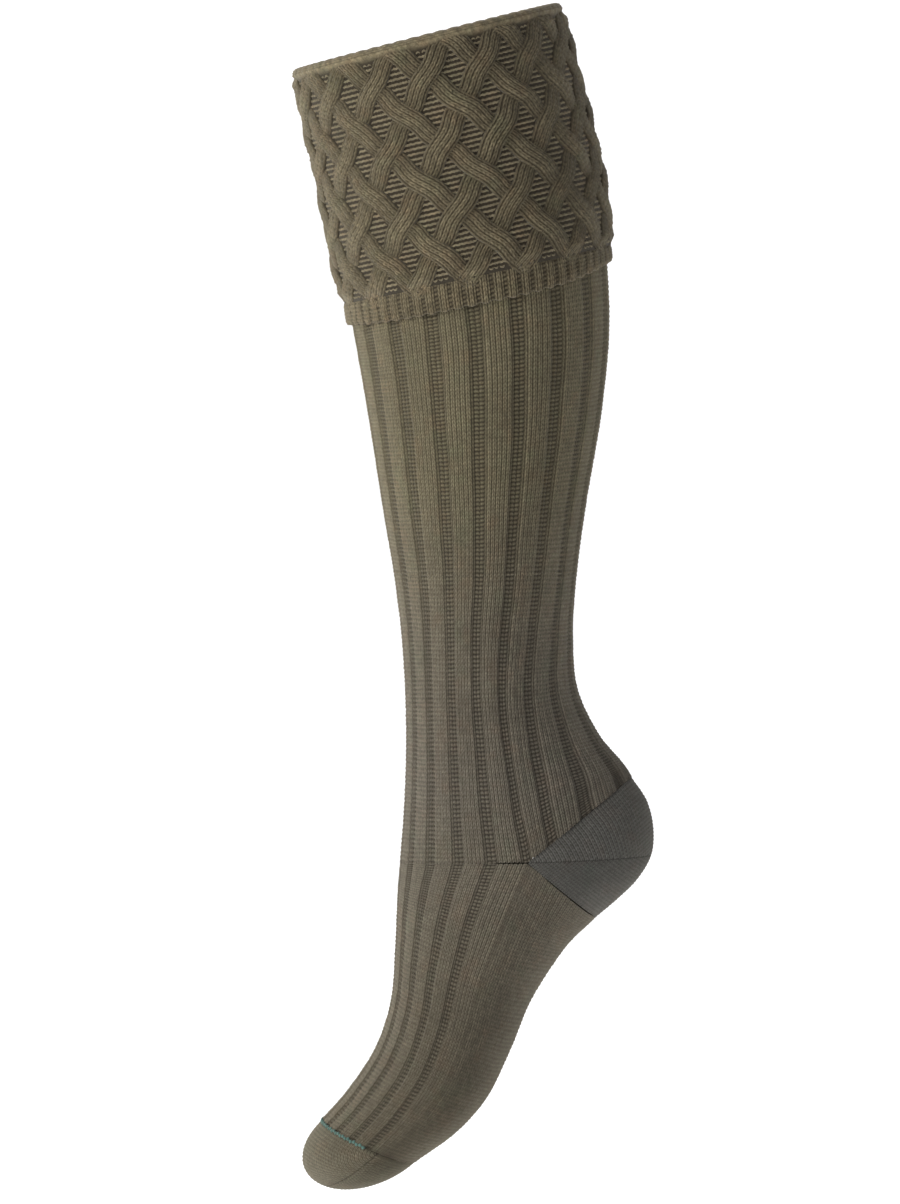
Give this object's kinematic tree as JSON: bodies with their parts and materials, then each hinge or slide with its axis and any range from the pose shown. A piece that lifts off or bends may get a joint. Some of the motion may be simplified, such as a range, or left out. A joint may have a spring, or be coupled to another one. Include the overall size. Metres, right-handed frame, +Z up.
{
  "type": "knitted shooting sock",
  "caption": "Knee-length ribbed wool shooting sock with a turned-over lattice cable cuff, turned heel and seamed toe, in its worn form.",
  "frame": {"origin": "middle of the sock's mouth, level with the top of the cuff's fold", "axes": "+Z up along the leg, toe towards -X, calf and heel towards +X, the side seen in the picture towards -Y"},
  "size_m": [0.181, 0.1322, 0.5928],
  "materials": {
    "cuff_wool": "matte wool knit in heathered olive brown",
    "leg_wool": "matte wool knit in heathered olive brown",
    "heel_wool": "matte plain wool knit, a little darker",
    "seam_thread": "matte teal thread"
  },
  "bodies": {
    "root": {"turnover_cuff": "cuff_wool", "cuff_hem": "cuff_wool", "leg_tube": "leg_wool", "foot_tube": "leg_wool", "heel_pocket": "heel_wool", "toe_cap": "heel_wool", "toe_seam": "seam_thread"}
  },
  "joints": []
}
